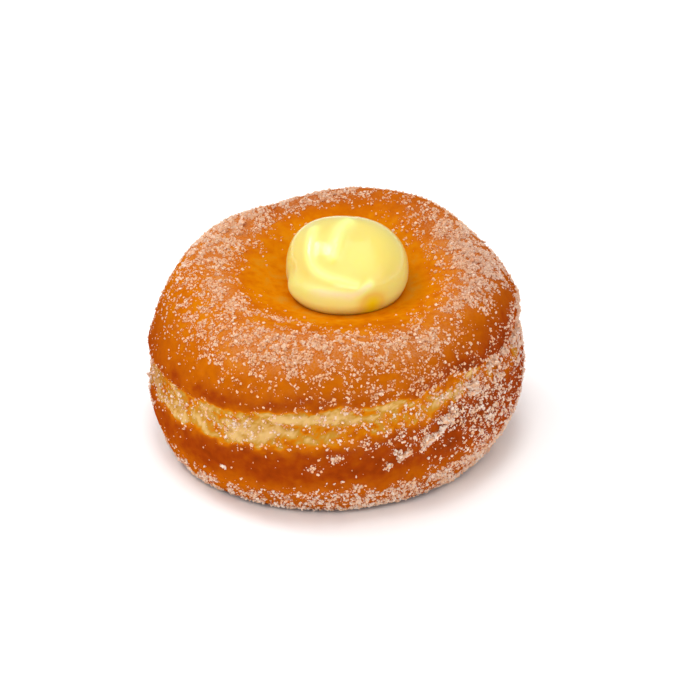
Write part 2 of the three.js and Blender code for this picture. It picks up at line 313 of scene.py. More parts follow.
class DoughSettings(bpy.types.PropertyGroup):
    """Sizes and colours of the fried dough."""

    diameter: length("Diameter", "Across the plain round before frying", 85 * MM)
    widest_height: length("Widest height", "Height of the widest place", 20 * MM)
    crest_height: length("Crest height", "Height of the plain crest", 41.9 * MM)
    crest_radius: length("Crest radius", "Radius of the crest round the dish", 30.6 * MM)
    foot_radius: length("Foot radius", "Radius of the flat foot", 36.2 * MM)
    belly_power: number("Belly power", "Fullness of the side below the widest place", 1.75)
    cap_power: number("Cap power", "Fullness of the cap above the widest place", 1.95)
    dish_depth: length("Dish depth", "Depth of the dish in the crown", 4.8 * MM)
    seat_radius: length("Seat radius", "Radius of the cream's seat", 13.2 * MM)
    seat_depth: length("Seat depth", "Depth of the cream's seat", 3 * MM)
    oval_share: number("Oval share", "How far from round the dough is", 0.019)
    oval_azimuth: angle("Oval azimuth", "Azimuth of the oval's long axis", 22)
    crown_rise: length("Crown rise", "How far the crown rises to the back", 2.7 * MM)
    crown_sag: length("Crown sag", "How far the crown sags at two sides", 2.65 * MM)
    crown_ridge: angle("Crown ridge", "Azimuth of the crown's unsagged ridge", 81)
    crown_sway: length("Crown sway", "How far the crown sways in three waves", 1.3 * MM)
    sway_azimuth: angle("Sway azimuth", "Azimuth of the first of the three waves", 53)
    lean: number("Lean", "Sideways lean to the right for each metre up", 0.05)
    seat_shift: length("Seat shift", "How far right of the middle the cream sits", 1.9 * MM)
    band_height: length("Band height", "Height of the pale band's middle", 21.4 * MM)
    band_rise_right: length("Band rise, right", "How far the band rises to the right", 4.3 * MM)
    band_rise_front: length("Band rise, front", "How far the band rises to the front", 4 * MM)
    band_half_width: length("Band half width", "Half the pale band's width", 3.7 * MM)
    band_depth: length("Band depth", "Depth of the pale band's groove", 0.75 * MM)
    band_wander: length("Band wander", "How far the band wanders up and down", 0.4 * MM)
    lip_rise: length("Lip rise", "Height of the cap's lip over the band", 5.2 * MM)
    lip_half_width: length("Lip half width", "Half the lip's width", 2 * MM)
    lip_bulge: length("Lip bulge", "How far the lip stands out", 0.4 * MM)
    crease_height: length("Crease height", "Height of the crease above the foot", 5.5 * MM)
    crease_half_width: length("Crease half width", "Half the crease's width", 1.6 * MM)
    crease_depth: length("Crease depth", "Depth of the crease", 0.5 * MM)
    crumb: colour("Crumb", "Palest crumb of the band", (234, 191, 122))
    # Golden also serves as painted shade in the band's sunk crumb.
    golden: colour("Golden", "Sunk crumb of the band", (202, 146, 50))
    amber: colour("Amber", "Brightest crust, round the cream", (219, 128, 4))
    orange: colour("Orange", "Crust of the crown", (206, 107, 3))
    brown: colour("Brown", "Well-browned crust of the side", (162, 63, 9))
    # Painted shade: along the foot the crust is painted this dark, as its contact shadow; the browned side
    # also runs towards it.
    dark: colour("Dark", "Darkest crust, along the foot", (104, 34, 8))
    # Painted shade: the rim's left, right and back are painted towards this darker colour.
    rim_shade: colour("Shade", "Crust of the rim that darkened most", (144, 48, 12))
    film: colour("Sugar film", "Crust under a film of the finest sugar", (212, 144, 94))


class CreamSettings(bpy.types.PropertyGroup):
    """Sizes and colours of the custard cream."""

    radius: length("Radius", "Radius of the dollop's girth", 13.6 * MM)
    height: length("Height", "Height of the dollop over its seat's edge", 13.9 * MM)
    girth_height: length("Girth height", "Height of the girth over the seat's edge", 3.4 * MM)
    foot_radius: length("Foot radius", "Radius that the dollop is tucked in to at its foot", 12.6 * MM)
    power: number("Power", "Fullness of the dome", 2.35)
    seat_gap: length("Seat gap", "Clearance over the seat", 0.05 * MM)
    # Painted highlight: the crests of the folds are painted towards this colour.
    streak: colour("Streak", "Palest streaks, along the folds", (252, 248, 205))
    # Painted light: the low wall, which gets less light, is painted towards this lighter colour.
    light: colour("Light", "Colour of the low wall, under the folds", (240, 246, 150))
    pale: colour("Pale", "Colour of the dome", (238, 218, 107))
    # Painted shade: the foot and the right crease are painted towards this deep yellow.
    deep: colour("Deep", "Colour of the foot and the crease", (240, 226, 10))


class SugarSettings(bpy.types.PropertyGroup):
    """Sizes, numbers and colours of the sugar."""

    clump_tries: whole("Clump tries", "Places tried for a clump", 780)
    clump_smallest: length("Smallest clump", "Across the smallest clump", 0.9 * MM)
    clump_largest: length("Largest clump", "Across the largest clump", 1.7 * MM)
    clump_sunk: number("Clump sunk", "Share of a clump that is sunk in the crust", 0.35)
    crystal_count: whole("Crystals", "Number of coarse crystals", 15000)
    crystal_size: length("Crystal size", "Across a coarse crystal", 0.46 * MM)
    fine_count: whole("Fine splinters", "Number of fine splinters", 32000)
    fine_size: length("Fine size", "Across a fine splinter", 0.32 * MM)
    seed: whole("Seed", "Start of the random draws", 7)
    white: colour("White", "Dry grains", (255, 236, 222))
    pink: colour("Pink", "Grains that let a little of the crust through", (252, 204, 166))
    peach: colour("Peach", "Clear grains that take the crust's colour", (236, 160, 96))
    # Painted shade: grains on the shaded rim are painted towards this darker colour.
    rim: colour("Rim", "Grains on the most toasted crust", (206, 170, 158))


class StageSettings(bpy.types.PropertyGroup):
    """Camera, light and floor."""

    elevation: angle("Elevation", "Angle that the camera looks down at", 31)
    distance: length("Distance", "From the camera to its aim", 0.6)
    frame_width: length("Frame width", "Width of the picture at the aim", 161.3 * MM)
    aim_right: length("Aim right", "How far right of the middle the camera aims", 3.4 * MM)
    aim_height: length("Aim height", "Height that the camera aims at", 20.05 * MM)
    key_power: power("Key power", "Power of the back left light", 2.0)
    side_power: power("Side power", "Power of each side light", 2.0)
    cream_power: power("Cream power", "Power of the cream's light", 2.6)
    floor_power: power("Floor power", "Power of the floor's light", 4.3)
    top_power: power("Top power", "Power of the light above", 8.8)
    sky_strength: number("Sky strength", "Strength of the white surroundings", 0.45)
    floor: colour("Floor", "Colour of the floor", (252, 252, 252))


def bell(x):
    """A smooth hump, 1 at zero and fading either side."""
    return np.exp(-x * x)


def smooth(x):
    """A smooth step from 0 at zero to 1 at one."""
    x = np.clip(x, 0, 1)
    return x * x * (3 - 2 * x)


def fade(x, start, end):
    """A smooth step from 0 at a start to 1 at an end, which may be the lower of the two."""
    return smooth((x - start) / (end - start))


def mix(start, end, share):
    """A value between two others."""
    return start + (end - start) * share


def either(shares):
    """How much shows in all, where layers that each show a share lie over each other."""
    bare = 1
    for share in shares:
        bare = bare * (1 - share)
    return 1 - bare


def fraction(x):
    """What is left of a number after its whole part."""
    return x - math.floor(x)


def turned(azimuth, degrees):
    """How far an azimuth is from another that is given in degrees, as an angle either side of zero."""
    return np.mod(azimuth - math.radians(degrees) + math.pi, TURN) - math.pi


def near(azimuth, degrees, reach):
    """A smooth hump about an azimuth, over a reach either side, both given in degrees."""
    return bell(turned(azimuth, degrees) / math.radians(reach))


def middles(edges):
    """The middles between edges in a row."""
    return (edges[1:] + edges[:-1]) / 2


def ring_ways(stretches):
    """The way of every ring, from stretches that each run one way further."""
    runs = [start + np.arange(rings) / rings for start, rings in stretches]
    return np.concatenate([*runs, [stretches[-1][0] + 1]])


def noise_at(points, size, octaves):
    """Smooth noise about zero with bumps of a size, at an array of points."""
    places = (points / size).tolist()
    return np.array([noise.fractal(place, OCTAVE_FALL, OCTAVE_STEP, octaves) for place in places])


def patchy(points, size, octaves, level, contrast):
    """Noise from 0 to 1 about a level, in patches whose edges are sharper with more contrast."""
    return smooth(level + contrast * noise_at(points, size, octaves))


def rounded_line(points):
    """A line whose corners are cut off three times over, so that they are round."""
    line = np.array(points, float)
    for _ in range(3):
        quarters = [mix(line[:-1], line[1:], share) for share in (0.25, 0.75)]
        line = np.concatenate([line[:1], np.stack(quarters, axis=1).reshape(-1, 2), line[-1:]])
    return line


def near_line(places, line, left, right):
    """How near places in a plane are to a rounded line: 1 on it, fading over a width on either side."""
    ends = rounded_line(line)
    nearest = np.full(len(places), np.inf)
    leftward = np.zeros(len(places))
    for start, end in zip(ends, ends[1:]):
        along = end - start
        away = places - start
        share = np.clip(away @ along / (along @ along), 0, 1)
        distance = np.linalg.norm(away - share[:, None] * along, axis=-1)
        across = (along[0] * away[:, 1] - along[1] * away[:, 0]) / np.linalg.norm(along)
        leftward = np.where(distance < nearest, across, leftward)
        nearest = np.minimum(nearest, distance)
    leaning = leftward / np.maximum(nearest, TINY)
    return bell(nearest / mix(right, left, smooth(0.5 + leaning / 2)))


def seen_from_above(azimuth, way):
    """Places on the cream's dome seen from above, from -1 to 1: the girth at way 0 and the peak at 1."""
    return np.stack([np.cos(azimuth), np.sin(azimuth)], axis=-1) * (1 - np.clip(way, 0, 1))[:, None]


class Doughnut:
    """The doughnut's shape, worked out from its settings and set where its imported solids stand."""

    def __init__(self, scene):
        self.dough = scene.doughnut_dough
        self.cream = scene.doughnut_cream
        self.shift = np.zeros(3)
        self.shift = self.offset_to_frame()

    def offset_to_frame(self):
        """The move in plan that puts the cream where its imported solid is."""
        around = np.linspace(0, TURN, BOX_SIDES + 1)
        azimuth, way = np.meshgrid(around, np.linspace(0, 1, BOX_RINGS + 1))
        points = self.cream_point(azimuth.ravel(), way.ravel())
        low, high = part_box("cream")
        offset = (np.array(low) + np.array(high) - points.min(0) - points.max(0)) / 2
        return offset * (1, 1, 0)

    def band_height(self, azimuth):
        """Height of the pale band's middle."""
        dough = self.dough
        slope = dough.band_rise_right * np.cos(azimuth) - dough.band_rise_front * np.sin(azimuth)
        wander = sum(share * np.sin(waves * azimuth + phase) for share, waves, phase in BAND_WAVES)
        return dough.band_height + slope + dough.band_wander * wander

    def dent(self, azimuth, height):
        """Shallow dents and swells of the crust, outwards."""
        level = math.pi * height / self.dough.crest_height
        return sum(
            depth * np.sin(waves * azimuth + phase + turns * level) for depth, waves, phase, turns in DENTS
        )

    def crown_lift(self, azimuth, share):
        """How far the crown's rise, sag and sway lift the rim at a share of the widest radius."""
        dough = self.dough
        sag = dough.crown_sag * np.cos(2 * (azimuth - dough.crown_ridge))
        sway = dough.crown_sway * np.cos(3 * (azimuth - dough.sway_azimuth))
        return share * dough.crown_rise * np.sin(azimuth) + share * share * (sag + sway)

    def lopsided(self, azimuth, plain_radius, plain_height):
        """Moves points of the plain round to where they are on the lopsided doughnut."""
        dough = self.dough
        raised = fade(plain_height, 0, dough.widest_height)
        outside = fade(plain_radius, dough.seat_radius, dough.crest_radius)
        radius = plain_radius * (1 + dough.oval_share * np.cos(2 * (azimuth - dough.oval_azimuth)))
        height = plain_height + raised * self.crown_lift(azimuth, 2 * radius / dough.diameter)
        over_band = height - self.band_height(azimuth)
        swell = outside * raised * self.dent(azimuth, plain_height)
        to_crest = fade(plain_height, dough.band_height, dough.crest_height)
        lip = dough.lip_bulge * bell((over_band - dough.lip_rise) / dough.lip_half_width)
        groove = dough.band_depth * bell(over_band / dough.band_half_width)
        crease = dough.crease_depth * bell((plain_height - dough.crease_height) / dough.crease_half_width)
        radius = radius + swell + outside * (lip - groove - crease)
        height = height + swell * to_crest / 2
        right = dough.lean * plain_height + dough.seat_shift * raised * (1 - outside)
        points = np.stack([radius * np.cos(azimuth) + right, radius * np.sin(azimuth), height], axis=-1)
        return points + self.shift

    def side_point(self, turn):
        """Radius and height of the plain side: foot's edge at 0, widest place at 1 and crest at 2."""
        dough = self.dough
        low = QUARTER * np.clip(turn, 0, 1)
        high = QUARTER * np.clip(turn - 1, 0, 1)
        belly_out = np.sin(low) ** (2 / dough.belly_power)
        belly_down = np.clip(np.cos(low), 0, 1) ** (2 / dough.belly_power)
        cap_out = np.clip(np.cos(high), 0, 1) ** (2 / dough.cap_power)
        cap_up = np.sin(high) ** (2 / dough.cap_power)
        belly_radius = mix(dough.foot_radius, dough.diameter / 2, belly_out)
        cap_radius = mix(dough.crest_radius, dough.diameter / 2, cap_out)
        belly_height = dough.widest_height * (1 - belly_down)
        cap_height = mix(dough.widest_height, dough.crest_height, cap_up)
        return np.where(turn < 1, belly_radius, cap_radius), np.where(turn < 1, belly_height, cap_height)

    def band_turn(self, azimuth):
        """The turn at which the side meets the middle of the pale band."""
        dough = self.dough
        plain_height = self.band_height(azimuth) - self.crown_lift(azimuth, 1)
        cap_rise = dough.crest_height - dough.widest_height
        under = np.clip(1 - plain_height / dough.widest_height, 0, 1)
        over = np.clip((plain_height - dough.widest_height) / cap_rise, 0, 1)
        belly = np.arccos(under ** (dough.belly_power / 2)) / QUARTER
        cap = 1 + np.arcsin(over ** (dough.cap_power / 2)) / QUARTER
        return np.where(plain_height < dough.widest_height, belly, cap)

    def plain_point(self, azimuth, way):
        """Radius and height on the plain round, from the foot's middle to the seat's middle."""
        dough = self.dough
        band = self.band_turn(azimuth)
        turn = np.where(way < 1, band * way, mix(band, 2, way - 1))
        side_radius, side_height = self.side_point(np.clip(turn, 0, 2))
        seat = np.clip(way - 3, 0, 1)
        foot_radius = dough.foot_radius * (1 + way)
        dish_radius = mix(dough.crest_radius, dough.seat_radius, np.clip(way - 2, 0, 1))
        seat_radius = dough.seat_radius * (1 - seat)
        dish_height = self.dish_height(dish_radius)
        seat_height = dish_height - dough.seat_depth * np.sin(seat * QUARTER)
        stretch = [way < 0, way < 2, way < 3]
        radius = np.select(stretch, [foot_radius, side_radius, dish_radius], seat_radius)
        height = np.select(stretch, [0 * way, side_height, dish_height], seat_height)
        return radius, height

    def dish_height(self, radius):
        """Height of the plain dish between the crest and the cream's seat."""
        dough = self.dough
        share = np.clip((dough.crest_radius - radius) / (dough.crest_radius - dough.seat_radius), 0, 1)
        return dough.crest_height - dough.dish_depth * share * share * (2 - share)

    def crust_point(self, azimuth, way):
        """Points of the bare crust."""
        return self.lopsided(azimuth, *self.plain_point(azimuth, way))

    def crust_runs(self, azimuth, way, turn_step, way_step):
        """How far the bare crust runs around and along, over steps to both sides of places."""
        around = self.crust_point(azimuth + turn_step, way) - self.crust_point(azimuth - turn_step, way)
        along = self.crust_point(azimuth, way + way_step) - self.crust_point(azimuth, way - way_step)
        return around, along

    def crust_normal(self, azimuth, way):
        """Directions straight out of the bare crust."""
        across = np.cross(*self.crust_runs(azimuth, way, SLOPE_STEP, SLOPE_STEP))
        return across / np.maximum(np.linalg.norm(across, axis=-1, keepdims=True), TINY)

    def over_band(self, azimuth, points):
        """How far above the pale band's middle points are, along a ragged line."""
        ragged = 1.4 * MM * noise_at(points, 5 * MM, 3) + 0.6 * MM * noise_at(points, 1.7 * MM, 2)
        return points[:, 2] - self.band_height(azimuth) + ragged

    def band_edge(self, azimuth):
        """How far the pale band's edges are from its middle."""
        widened = 0.22 * np.cos(turned(azimuth, 235))
        narrowed = 0.3 * near(azimuth, 325, 30)
        return self.dough.band_half_width * (1 + widened - narrowed)

    def pale_share(self, azimuth, points):
        """How pale the crust is: 1 on the crumb of the ragged band, 0 on browned crust."""
        edge = self.band_edge(azimuth)
        over = self.over_band(azimuth, points)
        pale = fade(over, edge, 0.7 * edge) * fade(over, -1.15 * edge, -0.6 * edge)
        broken = near(azimuth, 345, 48) * patchy(points, 4 * MM, 2, level=0.6, contrast=2.5)
        flecked = near(azimuth, 290, 35) * patchy(points, 1.5 * MM, 2, level=0.2, contrast=3)
        return pale * (1 - 0.9 * broken) * (1 - 0.35 * flecked)

    def browning(self, azimuth, way, points, pale):
        """How browned the crust is, with painted shade: 0 on the palest crumb, 1 on the darkest crust."""
        over = self.over_band(azimuth, points)
        edge = self.band_edge(azimuth)
        cap = cap_browning(azimuth, way, points, over - edge)
        side = side_browning_and_shading(azimuth, way, over + edge)
        crust = mix(cap, side, fade(way, 1, 0.9))
        crust = crust + 0.07 * noise_at(points, 8 * MM, 3) + 0.05 * noise_at(points, 2 * MM, 2)
        # Painted shade: the crumb is painted darker where its torn layers are sunk.
        crumb = 0.15 + 0.42 * crumb_layers(points) + 0.28 * noise_at(points + 3 * MM, 1.2 * MM, 3)
        return np.clip(mix(crust, crumb, pale), 0, 1)

    def dough_point(self, azimuth, way):
        """Points of the crust with its wrinkles and crags."""
        points = self.crust_point(azimuth, way)
        relief = crust_relief(way, points, self.pale_share(azimuth, points))
        return points + relief[:, None] * self.crust_normal(azimuth, way)

    def cream_push(self, azimuth, way):
        """How far the folds push the cream's surface out."""
        place = seen_from_above(azimuth, way)
        return sum(
            fold.push * near_line(place, fold.line, fold.left, fold.right) for fold in CREAM_FOLDS.values()
        )

    def cream_point(self, azimuth, way):
        """Points of the dollop: its underside from -2, its tuck from -1 and its dome from 0 to 1."""
        dough = self.dough
        cream = self.cream
        seat_edge = dough.crest_height - dough.dish_depth
        girth_top = seat_edge + cream.girth_height
        under = np.clip(way + 2, 0, 1)
        tuck = np.clip(way + 1, 0, 1)
        dome = np.clip(way, 0, 1)
        push = self.cream_push(azimuth, dome)
        out = np.clip(np.cos(dome * QUARTER), 0, 1) ** (2 / cream.power)
        up = np.sin(dome * QUARTER) ** (2 / cream.power)
        under_radius = cream.foot_radius * under
        seat_share = 1 - under_radius / dough.seat_radius
        under_height = seat_edge + cream.seat_gap - dough.seat_depth * np.sin(seat_share * QUARTER)
        tuck_radius = mix(cream.foot_radius, cream.radius + push, np.sin(tuck * QUARTER))
        tuck_height = mix(under_height, girth_top, tuck)
        dome_height = girth_top + up * (cream.height - cream.girth_height + push)
        stretch = [way < -1, way < 0]
        radius = np.select(stretch, [under_radius, tuck_radius], out * (cream.radius + push))
        height = np.select(stretch, [under_height, tuck_height], dome_height)
        return self.lopsided(azimuth, radius, height)


def crumb_layers(points):
    """Torn layers of crumb along the band: above zero where they are sunk, below where they stand out."""
    return noise_at(points * (1, 1, 2.4) + 5 * MM, 6 * MM, 3)


def crust_relief(way, points, pale):
    """How far fine wrinkles, crags and torn layers move the crust out."""
    shown = fade(way, 0, 0.15) * fade(way, 3, 2.9)
    wrinkle = 0.05 * MM * noise_at(points, 9 * MM, 2)
    streak = 0.2 * MM * fade(way, 0.9, 0.6) * noise_at(points * (1, 1, 4), 9 * MM, 3)
    crag = 0.35 * MM * noise_at(points, 1.8 * MM, 2) - 0.6 * MM * crumb_layers(points) - 0.2 * MM
    return shown * (wrinkle + streak + pale * crag)


def cap_browning(azimuth, way, points, over_edge):
    """How browned the cap is: least round the cream, and more along its lip, just over the band's edge."""
    cap = 0.5 - 0.08 * fade(way, 2.2, 2.7) + 0.1 * fade(way, 1.6, 1.2)
    for patch in BROWNED_PATCHES:
        cap = cap + patch.share(azimuth, way)
    lip = 0.09 + 0.1 * near(azimuth, 232, 32)
    lip = lip * patchy(points, 9 * MM, 2, level=0.6, contrast=1.2)
    return cap + lip * bell((over_edge - 1.2 * MM) / (1.6 * MM))


def side_browning_and_shading(azimuth, way, over_edge):
    """How browned the lower side is: most at the foot, as painted contact shadow, painted lighter just
    above it, and least in a glow in front, at the band's edge.
    """
    # Painted light: the side is painted lighter just above the foot, for light bounced up from the floor.
    side = 0.8 + 0.06 * near(azimuth, 320, 30) - 0.18 * fade(way, 0.66, 0.46)
    side = side - 0.04 * near(azimuth, 205, 25)
    glow = near(azimuth, 267, 10) * bell((over_edge + 0.6 * MM) / (1.4 * MM))
    side = side - 0.08 * bell(over_edge / (1.2 * MM)) - 0.32 * glow
    # Painted contact shadow: along the foot the crust is painted in the darkest colour.
    return mix(side, 1, fade(way, 0.22, 0.14))


def toasted(azimuth, way):
    """How much painted shade darkens the left, right and back of the rim, from 0 to 1."""
    return either(
        amount * near(azimuth, middle, reach) * fade(way, start, full)
        for middle, reach, start, full, amount in SHADED_RIM_SIDES
    )


def sugar_amount(azimuth, way, patches=SUGAR_PATCHES):
    """How much sugar lies at places on the crust, from 0 to 1."""
    return either(patch.share(azimuth, way) for patch in patches)


def caked_sugar(azimuth, way, points):
    """How much sugar is caked into a broken chain of clumps along the band on the right, from 0 to 1."""
    around = math.radians(CAKED_MIDDLE) + turned(azimuth, CAKED_MIDDLE)
    places = np.stack([around, CAKED_WAY * way], axis=-1)
    line = [(math.radians(degrees), CAKED_WAY * height) for degrees, height in CAKED_LINE]
    chain = near_line(places, line, CAKED_WIDTH, CAKED_WIDTH)
    return chain * patchy(points, 2.4 * MM, 2, level=0.38, contrast=2.4)


def sugar_cover(azimuth, way, points):
    """How much of the crust sugar covers: patches with gaps, veins, a caked chain and the heel."""
    heel = 0.4 * bell((way - 0.19) / 0.07)
    amount = either((sugar_amount(azimuth, way), heel))
    gaps = mix(patchy(points, 2.6 * MM, 3, level=0.55, contrast=1.4), 1, 0.7 * heel)
    veins = smooth(1.5 * bell(noise_at(points, 8 * MM, 3) / 0.2) - 0.3)
    veins = veins * patchy(points, 2.4 * MM, 2, level=0.6, contrast=2)
    veined = 0.7 * fade(way, 1.25, 1.1) * fade(way, 0.45, 0.6)
    dusted = sugar_amount(azimuth, way, SUGAR_DUSTINGS) * patchy(points, 2 * MM, 3, level=0.4, contrast=1.5)
    laid = np.maximum(amount * mix(gaps, veins, veined), dusted)
    return np.maximum(laid, caked_sugar(azimuth, way, points))


def sugar_film(azimuth, way, points):
    """How far the finest sugar hides the crust: as the grains do, with fewer gaps on the cap."""
    on_cap = 0.9 * smooth(1.2 * sugar_amount(azimuth, way)) * fade(way, 1.3, 1.5)
    return 0.85 * np.maximum(sugar_cover(azimuth, way, points), on_cap)


def cream_colour_and_painted_light(azimuth, way):
    """How deep the cream's colour is: least along its painted highlights, less on its low wall as painted
    light, and most at its foot and in its crease, as painted shade.
    """
    place = seen_from_above(azimuth, way)
    # Painted shade: deep yellow at the foot and along the right crease.
    crease = near_line(place, CREAM_FOLDS["right crease"].line, CREASE_SHADE_WIDTH, CREASE_SHADE_WIDTH)
    painted_shade = either((0.6 * fade(way, -0.6, -1), crease * fade(way, 0.16, -0.04)))
    # Painted highlights along the crests of the roll, the ridge and the tail.
    highlights = [
        share * near_line(place, CREAM_FOLDS[fold].line, HIGHLIGHT_WIDTH, HIGHLIGHT_WIDTH)
        for fold, share in CREAM_HIGHLIGHTS.items()
    ]
    painted_highlight = np.max(highlights, axis=0) * fade(place[:, 0], -0.7, -0.3)
    streak, light, pale, deep = CREAM_STOPS
    # Painted light: the low wall is painted lighter than the dome.
    dome_and_painted_light = mix(pale, light, fade(way, 0.3, 0))
    return mix(mix(dome_and_painted_light, streak, painted_highlight), deep, painted_shade)


def wrapped_mesh(name, stretches, sides, place):
    """A closed mesh: a grid is wrapped round by azimuth and way, and its seam and its poles are merged."""
    ring_way = ring_ways(stretches)
    rings = len(ring_way) - 1
    bm = bmesh.new()
    azimuth_layer = bm.verts.layers.float.new("azimuth")
    way_layer = bm.verts.layers.float.new("way")
    bmesh.ops.create_grid(bm, x_segments=sides, y_segments=rings, size=1)
    flat = np.array([vert.co for vert in bm.verts])
    azimuths = (flat[:, 0] + 1) * math.pi
    ways = ring_way[np.rint((flat[:, 1] + 1) / 2 * rings).astype(int)]
    for vert, point, azimuth, way in zip(bm.verts, place(azimuths, ways), azimuths, ways):
        vert.co = point
        vert[azimuth_layer] = azimuth
        vert[way_layer] = way
    bmesh.ops.remove_doubles(bm, verts=bm.verts, dist=MERGE_DISTANCE)
    bmesh.ops.recalc_face_normals(bm, faces=bm.faces)
    mesh = bpy.data.meshes.new(name)
    bm.to_mesh(mesh)
    bm.free()
    mesh.shade_smooth()
    return mesh


def read_attribute(mesh, name):
    """The values of a mesh's point attribute."""
    values = np.empty(len(mesh.vertices), np.float32)
    mesh.attributes[name].data.foreach_get("value", values)
    return values.astype(float)


def write_attribute(mesh, name, values):
    """Stores one value for each point of a mesh."""
    attribute = mesh.attributes.new(name, "FLOAT", "POINT")
    attribute.data.foreach_set("value", np.asarray(values, np.float32))


def mesh_points(mesh):
    """The places of a mesh's points."""
    places = np.empty(3 * len(mesh.vertices), np.float32)
    mesh.vertices.foreach_get("co", places)
    return places.reshape(-1, 3).astype(float)


def add_piece(mesh, material, slot, *nodes):
    """Adds a mesh as a piece of the doughnut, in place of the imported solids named."""
    piece = bpy.data.objects.new(mesh.name, mesh)
    bpy.context.scene.collection.objects.link(piece)
    mesh.materials.append(material)
    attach(piece, "root")
    if nodes:
        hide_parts(*nodes)


def random_turns(rng, count):
    """Random turns in space, as rotation matrices."""
    quaternions = rng.normal(size=(4, count))
    w, x, y, z = quaternions / np.linalg.norm(quaternions, axis=0)
    rows = [
        [1 - 2 * (y * y + z * z), 2 * (x * y - z * w), 2 * (x * z + y * w)],
        [2 * (x * y + z * w), 1 - 2 * (x * x + z * z), 2 * (y * z - x * w)],
        [2 * (x * z - y * w), 2 * (y * z + x * w), 1 - 2 * (x * x + y * y)],
    ]
    return np.array(rows).transpose(2, 0, 1)


def grain_mesh(name, rng, form, centres, sizes, shades):
    """One mesh of many grains of a form, each a little skewed and turned its own way, with named shades."""
    corners, faces = (np.array(part) for part in form)
    count = len(centres)
    stretched = corners * rng.uniform(*GRAIN_STRETCH, (count, 1, 3))
    skewed = stretched + rng.normal(0, GRAIN_SKEW, (count, *corners.shape))
    grains = np.einsum("nij,nkj->nki", random_turns(rng, count), skewed) * sizes[:, None, None]
    points = (grains + centres[:, None, :]).reshape(-1, 3)
    joined = faces + len(corners) * np.arange(count)[:, None, None]
    mesh = bpy.data.meshes.new(name)
    mesh.from_pydata(points.tolist(), [], joined.reshape(-1, faces.shape[1]).tolist())
    for shade, values in shades.items():
        write_attribute(mesh, shade, np.repeat(values, len(corners)))
    return mesh


def scattered_places(shape, rng, count):
    """Azimuths and ways drawn over the crust, by its area and its cover of sugar."""
    azimuth_edges = np.linspace(0, TURN, SCATTER_SIDES + 1)
    way_edges = np.linspace(*SCATTER_WAYS, SCATTER_RINGS + 1)
    azimuth_step = azimuth_edges[1]
    way_step = way_edges[1] - way_edges[0]
    azimuth, way = (grid.ravel() for grid in np.meshgrid(middles(azimuth_edges), middles(way_edges)))
    around, along = shape.crust_runs(azimuth, way, azimuth_step / 2, way_step / 2)
    area = np.linalg.norm(np.cross(around, along), axis=-1)
    points = shape.crust_point(azimuth, way)
    caught = STRAY_SHARE + sugar_cover(azimuth, way, points) ** COVER_POWER
    weight = area * caught * (points[:, 2] > LOWEST_GRAIN)
    cells = rng.choice(len(weight), count, p=weight / weight.sum())
    jitter = rng.uniform(-0.5, 0.5, (2, count))
    return azimuth[cells] + jitter[0] * azimuth_step, way[cells] + jitter[1] * way_step


def sugar_shades(rng, azimuth, way):
    """Tones of grains, from dry white at 0 to clear peach at 1, and how far the rim's painted shade darkens
    them.

    Grains are whiter below the cap and on its back rim.
    """
    below = fade(way, 1.2, 1)
    back_rim = bell((way - 1.6) / 0.25) * smooth(0.5 + 0.8 * np.sin(azimuth))
    clear = mix(0.3, 0, np.maximum(below, back_rim))
    tone = np.clip(clear + rng.uniform(0, 0.7, len(way)), 0, 1)
    # The rim's painted shade darkens the grains there too.
    return {"tone": tone, "toasted": toasted(azimuth, way)}


def scattered_mesh(name, shape, rng, form, count, size):
    """Grains of a form, scattered over the crust and heaped where sugar is caked on."""
    azimuth, way = scattered_places(shape, rng, count)
    sizes = size * rng.uniform(*GRAIN_SIZES, count)
    points = shape.dough_point(azimuth, way)
    highest = GRAIN_RAISED + GRAIN_HEAPED * caked_sugar(azimuth, way, points)
    lift = sizes * rng.uniform(GRAIN_SUNK, highest, count)
    centres = points + lift[:, None] * shape.crust_normal(azimuth, way)
    return grain_mesh(name, rng, form, centres, sizes, sugar_shades(rng, azimuth, way))


def clump_mesh(shape, sugar, rng):
    """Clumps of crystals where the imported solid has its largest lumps."""
    centres = []
    sizes = []
    places = []
    for clump in range(1, sugar.clump_tries + 1):
        azimuth = np.array([clump * GOLDEN_ANGLE])
        way = np.array([CLUMP_WAYS * fraction(clump * CLUMP_WAY_STEP)])
        share = fraction(clump * CLUMP_SIZE_STEP)
        middle = shape.crust_point(azimuth, way)[0]
        caught = sugar_amount(azimuth, way)[0] > CLUMP_LEAST_SUGAR + CLUMP_SUGAR_SPREAD * share
        if caught and middle[2] > sugar.clump_largest:
            size = mix(sugar.clump_smallest, sugar.clump_largest, share ** 2)
            middle = middle + shape.crust_normal(azimuth, way)[0] * size * (0.5 - sugar.clump_sunk)
            for _ in range(CLUMP_CRYSTALS):
                centres.append(middle + rng.normal(0, CLUMP_SCATTER * size, 3))
                sizes.append(size * rng.uniform(*CLUMP_CRYSTAL_SIZES))
                places.append((azimuth[0], way[0]))
    shades = sugar_shades(rng, *np.array(places).T)
    return grain_mesh("sugar_clumps", rng, CRYSTAL_FORM, np.array(centres), np.array(sizes), shades)


def new_material(name):
    """A node material, with its node tree and its shader."""
    material = bpy.data.materials.new(name)
    material.use_nodes = True
    tree = material.node_tree
    return material, tree, tree.nodes["Principled BSDF"]


def set_inputs(tree, node, inputs):
    """Sets a node's inputs to values, or links them to sockets."""
    for socket, value in inputs.items():
        if isinstance(value, bpy.types.NodeSocket):
            tree.links.new(value, node.inputs[socket])
        else:
            node.inputs[socket].default_value = value


def add_node(tree, kind, inputs, **settings):
    """Adds a node, with its settings and the values or links of its inputs."""
    node = tree.nodes.new(kind)
    for name, value in settings.items():
        setattr(node, name, value)
    set_inputs(tree, node, inputs)
    return node


def attribute_value(tree, name):
    """The socket that gives a point attribute's value."""
    return add_node(tree, "ShaderNodeAttribute", {}, attribute_name=name).outputs["Fac"]


